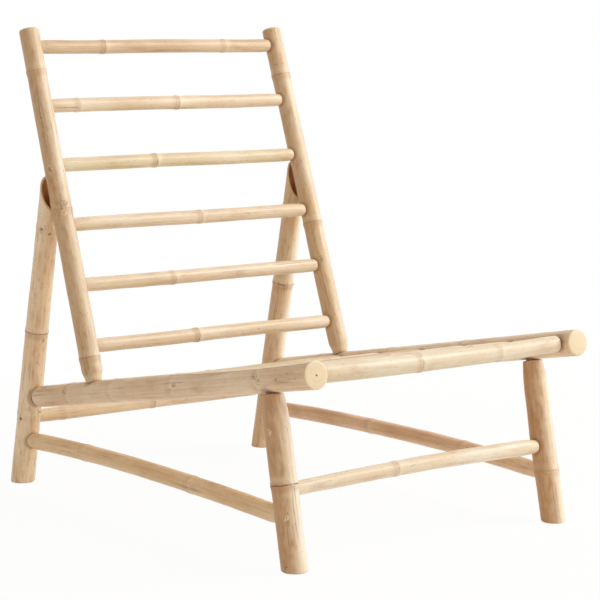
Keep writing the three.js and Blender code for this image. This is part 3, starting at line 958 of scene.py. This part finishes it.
class Shader:
    """The node tree of a material or of the world."""

    def __init__(self, owner):
        self.owner = owner
        owner.use_nodes = True
        self.tree = owner.node_tree
        self.tree.nodes.clear()

    def node(self, kind, settings=None, values=None, output=0):
        """Adds a node: its settings first, then the values or links of its sockets."""
        node = self.tree.nodes.new(kind)
        for setting, value in (settings or {}).items():
            setattr(node, setting, value)
        for key, value in (values or {}).items():
            if isinstance(value, Value):
                self.tree.links.new(value.socket, node.inputs[key])
            else:
                node.inputs[key].default_value = value
        return Value(self, node.outputs[output]) if node.outputs else node

    def split(self, vector):
        parts = self.node("ShaderNodeSeparateXYZ", values={0: vector})
        return [Value(self, socket) for socket in parts.socket.node.outputs]

    def combine(self, x, y, z):
        return self.node("ShaderNodeCombineXYZ", values={0: x, 1: y, 2: z})

    def vector(self, operation, *values, output=0):
        return self.node("ShaderNodeVectorMath", {"operation": operation}, dict(enumerate(values)), output)

    def distance(self, place, point, shrink=(1, 1, 1)):
        """How far a place is from a point, where each axis may be shrunk or stretched first."""
        offset = self.vector("SUBTRACT", place, tuple(point))
        return self.vector("LENGTH", self.vector("MULTIPLY", offset, shrink), output=1)

    def mix(self, first, second, share):
        """A colour between two colours."""
        return self.node("ShaderNodeMix", {"data_type": "RGBA"}, {0: share, 6: first, 7: second}, output=2)

    def noise(self, place, detail=2.0, roughness=0.5):
        """Soft noise about one half, with one cell to each unit of the place."""
        values = {"Vector": place, "Scale": 1.0, "Detail": detail, "Roughness": roughness}
        return self.node("ShaderNodeTexNoise", values=values)

    def finish(self, values, height=None, depth=0.0):
        """A Principled surface, with a bump where a height is given."""
        if height is not None:
            bump = {"Height": height, "Distance": depth, "Strength": 1.0}
            values = {**values, "Normal": self.node("ShaderNodeBump", values=bump)}
        surface = self.node("ShaderNodeBsdfPrincipled", values=values)
        self.node("ShaderNodeOutputMaterial", values={"Surface": surface})
        return self.owner


def colour(red, green, blue):
    """A colour as it looks on a screen, from 0 to 255, turned into the light values that shaders use."""
    shares = [value / 255 for value in (red, green, blue)]
    linear = [v / 12.92 if v <= 0.04045 else ((v + 0.055) / 1.055) ** 2.4 for v in shares]
    return (*linear, 1.0)


print("colour(255, 255, 255) is", colour(255, 255, 255))

# %% [markdown]
# ## Bamboo skin
#
# The skin is read from the outside in: a straw ground that drifts from pale to tan, long fibres, tan clouds,
# a pale bloom above each node and a tan shade below it, a thin brown scar at the node, small specks, a painted
# shade round each joint and in its gap, and bare wood where the maker cut, sawed or shaved. Upright culms get a
# painted shade on their left and a painted light on their right, where the window light falls. All of it
# follows the culm, so the material first turns Object coordinates into the culm's own frame with a Mapping
# node, and takes the bow out of it. No two culms are alike, so some have colours and marks of their own, and
# the third seat slat is darker as a painted shade.

# %% Colours of each kind of culm, pale and tan, as they look on a screen
skins = {
    "stile": ((236, 220, 193), (215, 184, 140)),
    "leg": ((251, 237, 213), (226, 194, 151)),
    "rail": ((244, 226, 199), (222, 193, 158)),
    "rung": ((244, 230, 207), (228, 204, 171)),
    "stretcher": ((244, 223, 192), (225, 194, 156)),
}
own_skins_and_shade = {
    "left_rear_leg": ((254, 240, 214), (240, 212, 176)),
    "left_side_stretcher": ((243, 217, 176), (222, 186, 140)),
    "right_side_stretcher": ((237, 207, 175), (212, 171, 134)),
    "back_rung_1": ((236, 215, 186), (210, 180, 144)),
    "back_rung_3": ((242, 232, 204), (224, 205, 168)),
    "seat_front_bar": ((242, 232, 211), (228, 210, 180)),
    "seat_rear_bar": ((231, 218, 193), (214, 190, 156)),
    # The third seat slat is darker, a painted shade.
    "seat_slat_3": ((222, 203, 174), (204, 173, 137)),
    "rear_stretcher": ((248, 229, 199), (230, 201, 164)),
    "front_stretcher": ((247, 239, 221), (235, 216, 186)),
}
smooth_skins = ("back_rung_3", "seat_front_bar", "front_stretcher")
# How much painted shade each upright gets on its left, away from the window light.
painted_shade_sides = {
    "left_stile": 0.45,
    "right_stile": 0.4,
    "right_rear_leg": 0.4,
    "left_front_leg": 0.75,
    "right_front_leg": 0.85,
}
bare_wood = colour(248, 232, 200)
bare_shade = colour(228, 200, 156)
disc_cream = colour(244, 228, 196)
disc_tan = colour(216, 182, 132)
# Tan of clouds, node bands and whittled legs, and of the painted shade on the left of uprights.
cloud_and_shade_tan = colour(184, 134, 84)
scar_brown = colour(124, 82, 52)
# Pale straw of the painted light on the right of uprights.
painted_light_straw = colour(251, 242, 227)
speck_brown = colour(120, 82, 54)
bloom_cream = colour(250, 236, 210)
# Dark brown of the painted shade in the gaps of the joints.
joint_shade_brown = colour(126, 76, 42)
bore_brown = colour(214, 146, 88)
# Brown of lines and single marks, of the lip of the shaved lens, and of the painted shade round each mortise.
dirt_and_shade_brown = colour(150, 104, 68)
print("skins for", list(skins))

# %% Marks on single culms: share of the length, degrees round it, kind, and size in millimetres
marks = {
    "left_stile": [(0.506, -26, "whorl", 10), (0.511, -58, "whorl", 4), (0.482, -24, "curl", 7)]
    + [(0.808, -50, "streak", 2.4), (0.739, -54, "streak", 2.4), (0.671, -57, "streak", 2.4)]
    + [(0.602, -58, "eye", 3.5)],
    "right_stile": [(0.886, -51, "hole", 2.2), (0.303, -33, "knot", 3)],
    "left_rear_leg": [(0.836, -61, "hole", 3.2), (0.823, -16, "hole", 3)]
    + [(0.481, 9, "eye", 4), (0.244, 33, "knot", 5.5)],
    "right_rear_leg": [(0.72, -70, "streak", 1.4)],
    "left_front_leg": [(0.729, -70, "curl", 3.5), (0.738, -78, "curl", 3), (0.715, -74, "curl", 3.5)]
    + [(0.282, -42, "curl", 4.5), (0.27, -50, "curl", 3), (0.03, -75, "hole", 3)],
    "right_front_leg": [(0.93, 30, "hole", 1.4)],
    "left_side_rail": [(0.176, 72, "knot", 4), (0.583, 84, "eye", 5), (0.57, 104, "hole", 1.8)]
    + [(0.848, 74, "knot", 3.5), (0.858, 96, "knot", 3.5), (0.914, 94, "hole", 1.7), (0.975, 88, "hole", 1.3)],
    "back_rung_3": [(0.956, 90, "eye", 3)],
    "front_stretcher": [(0.62, 20, "streak", 1.2)],
}
print(sum(len(found) for found in marks.values()), "marks on single culms")


# %% The culm's own frame in the shader
class Skin(Shader):
    """A culm's material: places in the culm's own frame, with its bow taken out, and the tint so far."""

    def __init__(self, culm):
        super().__init__(bpy.data.materials.new(f"{culm.name}_bamboo"))
        self.culm = culm
        self.seed = sum(culm.phases) * 10
        back = culm.frame.inverted()
        place = self.node("ShaderNodeTexCoord", output=3)
        values = {"Vector": place, "Location": back.translation, "Rotation": back.to_euler()}
        x, y, z = self.split(self.node("ShaderNodeMapping", values=values))
        if culm.bow or culm.lift:
            share = z / culm.length
            x = x - share * (1 - share) * (4 * culm.bow) - (1 - share) * culm.lift
        self.x, self.y, self.z = x, y, z
        self.place = self.combine(x, y, z)
        self.radius = (x * x + y * y) ** 0.5
        self.tint = None

    def depth(self, end):
        """How far in from the culm's start, 0, or from its end, 1."""
        return self.culm.length - self.z if end else self.z

    def grain(self, across, along, detail=2.0, way=1):
        """Noise with so many cells to a metre across the culm and along it."""
        deep = self.z * along + self.seed * way
        return self.noise(self.combine(self.x * across, self.y * across, deep), detail)

    def paint(self, tint, share):
        self.tint = self.mix(self.tint, tint, share)


# %% Skin between the nodes
def paint_ground(skin):
    """Straw ground, drift, fibres, clouds, and painted shade and light on uprights. Returns the fine fibres,
    for the bump.
    """
    culm = skin.culm
    pale, tan = (colour(*tint) for tint in own_skins_and_shade.get(culm.name, skins[culm.finish]))
    drift = skin.grain(30, 9, detail=3.0)
    fibres = skin.grain(700, 14)
    threads = skin.grain(260, 5, detail=1.0, way=-1)
    clouds = skin.grain(60, 16, detail=3.0, way=-1)
    mottles = skin.grain(150, 55, detail=3.0)
    skin.tint = skin.mix(tan, pale, (drift * 0.8 + fibres * 0.3 + threads * 0.5).fade(0.56, 1.06))
    skin.paint(cloud_and_shade_tan, clouds.fade(0.52, 0.78) * 0.4)
    skin.paint(cloud_and_shade_tan, mottles.fade(0.52, 0.72) * (0.35 if culm.finish in ("leg", "stile") else 0.1))
    # Painted shade on the left of an upright and painted light on its right, where the window light falls.
    if culm.name in painted_shade_sides:
        radius = culm.diameters[0] / 2
        ragged = (drift - 0.5) * (20 * mm) + (mottles - 0.5) * (18 * mm) + (threads - 0.5) * (10 * mm)
        skin.paint(cloud_and_shade_tan, (ragged - skin.y).fade(0, radius * 1.05) * painted_shade_sides[culm.name])
        painted_light_side = (skin.y + ragged * 0.5).fade(-radius * 0.45, radius * 0.5)
        skin.paint(painted_light_straw, painted_light_side * (0.9 if culm.finish == "leg" else 0.35))
    lines = skin.grain(240, 7).fade(0.56, 0.7)
    worn = skin.grain(50, 11, detail=1.0, way=-1).fade(0.46, 0.62)
    skin.paint(dirt_and_shade_brown, lines * worn * (0.15 if culm.name in smooth_skins else 0.5))
    return fibres


# %% Skin at the nodes
def paint_nodes(skin):
    """A pale bloom above each node, a tan shade below it and a broken brown scar."""
    ripple = (skin.grain(60, 0) - 0.5) * (3 * mm)
    rings = [(skin.z - ring + ripple, strength) for ring, strength in skin.culm.rings]

    def bands(offset, reach, power=1):
        return sum(along.near(offset, reach) * strength**power for along, strength in rings)

    patchy = skin.grain(70, 30).fade(0.32, 0.54)
    skin.paint(bloom_cream, bands(8 * mm, 9 * mm) * 0.3)
    skin.paint(cloud_and_shade_tan, bands(-6 * mm, 9 * mm) * 0.35)
    skin.paint(scar_brown, bands(-0.3 * mm, 1.8 * mm, power=2) * (0.2 + 0.8 * patchy))


# %% Single marks
mark_stretch = {"streak": 0.1, "knot": 0.75, "eye": 0.6, "whorl": 1.9}


def paint_mark(skin, share, degrees, kind, size, wobble):
    """A knot, a wide whorl, a small hole, a pale eye, a pale curl or a long brown streak."""
    size = size * mm
    stretch = (1, 1, mark_stretch.get(kind, 1.0))
    away = skin.distance(skin.place, skin.culm.skin_point(share, degrees), stretch) + wobble
    if kind == "hole":
        skin.paint(scar_brown, away.fade(size, size * 0.4) * 0.8)
    if kind == "streak":
        broken = wobble.fade(-0.9 * mm, 0.9 * mm)
        skin.paint(dirt_and_shade_brown, away.fade(size * 1.6, size * 0.2) * broken * 0.85)
    if kind == "curl":
        skin.paint(bloom_cream, away.near(size * 0.7, size * 0.35) * wobble.fade(-0.5 * mm, 0.6 * mm))
    if kind == "eye":
        skin.paint(dirt_and_shade_brown, away.fade(size * 0.9, size * 0.2) * 0.6)
        skin.paint(bloom_cream, away.near(size * 1.2, size * 0.5) * 0.25)
    if kind == "whorl":
        turns = away.near(size * 0.9, size * 0.16).largest(away.near(size * 0.45, size * 0.16) * 0.8)
        skin.paint(dirt_and_shade_brown, turns * wobble.fade(-2.2 * mm, 0.2 * mm) * 0.9)
    if kind == "knot":
        broken = wobble.fade(-1.5 * mm, 0.8 * mm)
        skin.paint(dirt_and_shade_brown, away.near(size * 1.2, size * 0.5) * broken * 0.75)
        skin.paint(bloom_cream, away.near(size * 0.75, size * 0.4) * 0.2)
        skin.paint(scar_brown, away.fade(size * 0.6, size * 0.2) * 0.8)


# %% Painted shade at the joints
mouths = {name: [] for name in culms}
for culm in culms.values():
    for i, tenon, point in tenons(culm):
        mouth = point + culm.direction * (1 - 2 * i) * tenon.surface(culm, point)
        mouths[tenon.host].append((culms[tenon.host].frame.inverted() @ mouth, tenon.nose))


def paint_joint_shade(skin):
    """Painted shade round each mortise, and a darker painted shade deep in it and on the pegs."""
    culm = skin.culm
    bare_skin = culm.diameters[0] / 2 + skin.z * ((culm.diameters[1] - culm.diameters[0]) / 2 / culm.length)
    mouth_shade = dark = 0.0
    for mouth, nose in mouths[culm.name]:
        away = skin.distance(skin.place, mouth)
        mouth_shade = away.fade(nose + 6 * mm, nose).largest(mouth_shade)
        deep = (bare_skin - skin.radius).fade(1.5 * mm, 2.4 * mm)
        dark = (away.fade(nose + 4 * mm, nose + 1 * mm) * deep).largest(dark)
    for i, tenon, point in tenons(culm):
        root = tenon.root(culm, point)
        thin = (tenon.nose - skin.radius).fade(0.2 * mm, 1 * mm)
        dark = (skin.depth(i).fade(root + 1.2 * mm, root) * thin).largest(dark)
    # Painted shade round each mortise, and a darker painted shade in its gap and on the pegs.
    if mouths[culm.name]:
        skin.paint(dirt_and_shade_brown, mouth_shade * 0.5)
    skin.paint(joint_shade_brown, dark * 0.85)


# %% Whittled noses and sawn ends
def paint_whittling(skin, wood):
    """Noses that a knife has thinned: tan on the legs, and nearly bare on the others."""
    tint, strength = (cloud_and_shade_tan, 0.4) if skin.culm.finish == "leg" else (wood, 0.35)
    for i, tenon, point in tenons(skin.culm):
        root = tenon.root(skin.culm, point)
        torn = (skin.grain(200, 20) - 0.5) * (12 * mm)
        whittled = (skin.depth(i) + torn).fade(root + tenon.shoulder * 0.7, root + tenon.shoulder * 0.3)
        skin.paint(tint, whittled * strength)


def paint_sawn_end(skin, end):
    """A sawn disc with its growth rings, and a dark pith where it has a pit."""
    sawn = skin.depth(1).fade(end.dome + end.edge * 0.9, end.dome + end.edge * 0.4)
    across = skin.radius * 330 + skin.grain(70, 0) * 3
    growth = skin.noise(skin.combine(across, skin.seed, skin.seed)).fade(0.4, 0.66)
    skin.paint(skin.mix(disc_cream, disc_tan, growth * (0.22 if end.pit else 0.12)), sawn)
    if end.pit:
        skin.paint(scar_brown, skin.radius.fade(2 * mm, 1.1 * mm) * sawn * 0.7)


# %% The slash with its hollow, and the shaved lens
def paint_slash(skin, wood):
    leg = skin.culm
    back = leg.frame.inverted()
    normal = back.to_3x3() @ slash_normal(leg)
    level = (back @ slash_contact(leg)).dot(normal)
    above_slash = skin.x * normal.x + skin.y * normal.y + skin.z * normal.z - level
    skin.paint(wood, abs(above_slash).fade(0.6 * mm, 0.3 * mm))
    wall = bore_radius(leg)
    bottom = leg.length - bore_depth
    inside = skin.radius.fade(wall + 0.8 * mm, wall + 0.2 * mm) * skin.z.fade(bottom - 1 * mm, bottom)
    skin.paint(bore_brown, inside)


def paint_lens(skin, wood):
    """Bare wood inside the egg that shaved the rail, with a dark brown line along its lower lip."""
    egg = shaved[skin.culm.name]
    cosine, sine = math.cos(egg.angle), math.sin(egg.angle)
    sideways = skin.y * cosine - skin.x * sine
    height = (skin.x * cosine + skin.y * sine - egg.x) / egg.halves[0]
    width = sideways / egg.halves[1]
    ahead = (skin.z - egg.z) / egg.halves[2]
    out = height * height + width * width + ahead * ahead
    # A dark brown line along the lower lip of the lens.
    skin.paint(dirt_and_shade_brown, out.near(1.035, 0.035) * sideways.fade(2 * mm, 6 * mm) * 0.75)
    skin.paint(wood, out.fade(1.016, 1.006) * 0.85)


# %% One bamboo material for each culm
bump_depth = 0.14 * mm
coat = {"Coat Weight": 0.25, "Coat Roughness": 0.22}


def paint_cuts(skin):
    """Wood that a tool has touched. Returns the strokes of the tool, for the bump."""
    culm = skin.culm
    strokes = skin.grain(900, 60, detail=3.0)
    wood = skin.mix(bare_shade, bare_wood, strokes.fade(0.3, 0.6))
    paint_whittling(skin, wood)
    if isinstance(culm.ends[1], CutEnd):
        paint_sawn_end(skin, culm.ends[1])
    if culm.name in slash_turns:
        paint_slash(skin, wood)
    if culm.name in shaved:
        paint_lens(skin, wood)
    return strokes


def bamboo(culm):
    skin = Skin(culm)
    fibres = paint_ground(skin)
    paint_nodes(skin)
    skin.paint(speck_brown, skin.grain(420, 160, detail=1.0).fade(0.7, 0.76) * 0.5)
    if culm.name in marks:
        wobble = (skin.grain(420, 300, detail=3.0) - 0.5) * (10 * mm)
        for mark in marks[culm.name]:
            paint_mark(skin, *mark, wobble)
    strokes = paint_cuts(skin)
    paint_joint_shade(skin)
    values = {"Base Color": skin.tint, "Roughness": 0.46 + 0.2 * fibres, **coat}
    return skin.finish(values, height=fibres + strokes * 0.4, depth=bump_depth)


for name, culm in culms.items():
    piece = pieces[name]
    piece.data.materials.clear()
    piece.data.materials.append(bamboo(culm))
    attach(piece, "root")
    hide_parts(name)
print("bamboo on", len(culms), "culms")

# %% [markdown]
# ## Steel
#
# The heads are plain zinc-plated steel, dull from years at the bottom of a hole.

# %% Steel for the screws
def steel():
    shader = Shader(bpy.data.materials.new("screw_steel"))
    x, y, z = shader.split(shader.node("ShaderNodeTexCoord", output=3))
    smudge = shader.noise(shader.combine(x * 900, y * 900, z * 900), detail=3.0)
    tint = shader.mix(colour(84, 78, 72), colour(140, 134, 128), smudge.fade(0.3, 0.7))
    return shader.finish({"Base Color": tint, "Metallic": 1.0, "Roughness": 0.4 + 0.25 * smudge})


screw_steel = steel()
for screw in screws:
    piece = pieces[screw.name]
    piece.data.materials.clear()
    piece.data.materials.append(screw_steel)
    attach(piece, "root")
    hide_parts(screw.name)
print("steel on", len(screws), "screws")

# %% [markdown]
# ## The studio
#
# The chair stands on an endless white floor in soft daylight from the right. The room is warm, so the light
# that falls into the shade has lost some of its blue, while the window's own light is neutral. The floor is
# a plain pale diffuse surface for the light, so that it keeps the shadow, and mostly white for the eye.

# %% Floor and world
floor_size = 30.0
shadow_reach = (0.7, 1.9)
floor_white_share = 0.95
floor_pale = colour(250, 248, 244)
wall_top = 0.7
wall_light = (0.322, 0.243, 0.173, 1.0)
ceiling_light = (0.645, 0.578, 0.5, 1.0)


def seen_ray(shader):
    """1 for what the camera sees, also in a mirror or through glass."""
    path = shader.node("ShaderNodeLightPath").socket.node
    rays = [Value(shader, path.outputs[f"Is {kind} Ray"]) for kind in ("Camera", "Glossy", "Transmission")]
    return rays[0].largest(rays[1]).largest(rays[2])


def floor_white():
    shader = Shader(bpy.data.materials.new("floor_white"))
    x, y, z = shader.split(shader.node("ShaderNodeTexCoord", output=3))
    far = ((x * x + y * y) ** 0.5).fade(*shadow_reach)
    diffuse = shader.node("ShaderNodeBsdfDiffuse", values={"Color": floor_pale})
    white = shader.node("ShaderNodeEmission", values={"Color": (1, 1, 1, 1), "Strength": 1.0})
    share = seen_ray(shader) * (floor_white_share + (1 - floor_white_share) * far)
    surface = shader.node("ShaderNodeMixShader", values={0: share, 1: diffuse, 2: white})
    shader.node("ShaderNodeOutputMaterial", values={"Surface": surface})
    return shader.owner


deselect()
bpy.ops.mesh.primitive_plane_add(size=floor_size)
floor = bpy.context.object
floor.name = "floor"
floor.data.materials.append(floor_white())

world = bpy.data.worlds.new("white_studio")
bpy.context.scene.world = world
sky = Shader(world)
height = sky.split(sky.node("ShaderNodeTexCoord"))[2]
room_light = sky.mix(wall_light, ceiling_light, height.fade(0, wall_top))
sky_colour = sky.mix(room_light, (1, 1, 1, 1), seen_ray(sky))
background = sky.node("ShaderNodeBackground", values={"Color": sky_colour, "Strength": 1.0})
sky.node("ShaderNodeOutputWorld", values={"Surface": background})
print("floor of", floor_size, "m, walls at", wall_light[0], "and ceiling at", ceiling_light[0])

# %% The window light
window_direction = Vector((0.78, -0.55, 0.66)).normalized()
window_distance = 4.6
window_size = 2.4
window_power = 138
window_tint = (1.0, 1.0, 0.99)

chair_middle = (Vector(cad_bounds[0]) + Vector(cad_bounds[1])) / 2
bpy.ops.object.light_add(type="AREA", location=chair_middle + window_direction * window_distance)
window = bpy.context.object
window.name = "window_light"
window.data.size = window_size
window.data.energy = window_power
window.data.color = window_tint
window.rotation_euler = window_direction.to_track_quat("Z", "Y").to_euler()
print("one window light", window_distance, "m away, and the sky")

# %% [markdown]
# ## The camera
#
# The photograph was taken from the chair's front left, a little above the seat, with a long lens. The
# angles here come from matching the ends of all the poles.

# %% Camera
camera_azimuth = math.radians(-37.201)
camera_elevation = math.radians(7.1797)
camera_roll = math.radians(-0.1315)
camera_distance = 3.42873
camera_target = Vector((middle_x + 0.1 * mm, rail_rear_y - 425.07 * mm, 343.83 * mm))
camera_lens = 126.54

toward_camera = Vector(
    (
        math.sin(camera_azimuth) * math.cos(camera_elevation),
        -math.cos(camera_azimuth) * math.cos(camera_elevation),
        math.sin(camera_elevation),
    )
)
bpy.ops.object.camera_add(location=camera_target + toward_camera * camera_distance)
camera = bpy.context.object
camera.data.lens = camera_lens
camera.data.sensor_width = 36
camera.rotation_euler = (
    toward_camera.to_track_quat("Z", "Y").to_matrix() @ Matrix.Rotation(camera_roll, 3, "Z")
).to_euler()
bpy.context.scene.camera = camera
bpy.context.scene.view_settings.view_transform = "Standard"
print("camera at", [round(v, 3) for v in camera.location])

# %% Compare the sizes and finish
worth_naming = 2.5 * mm
for name in culms:
    points = [vertex.co for vertex in pieces[name].data.vertices]
    off = 0
    for axis, (low, high) in enumerate(zip(*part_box(name))):
        reach = [point[axis] for point in points]
        off = max(off, abs(min(reach) - low), abs(max(reach) - high))
    if off > worth_naming:
        print(name, "differs from its node by", round(off / mm, 2), "mm")
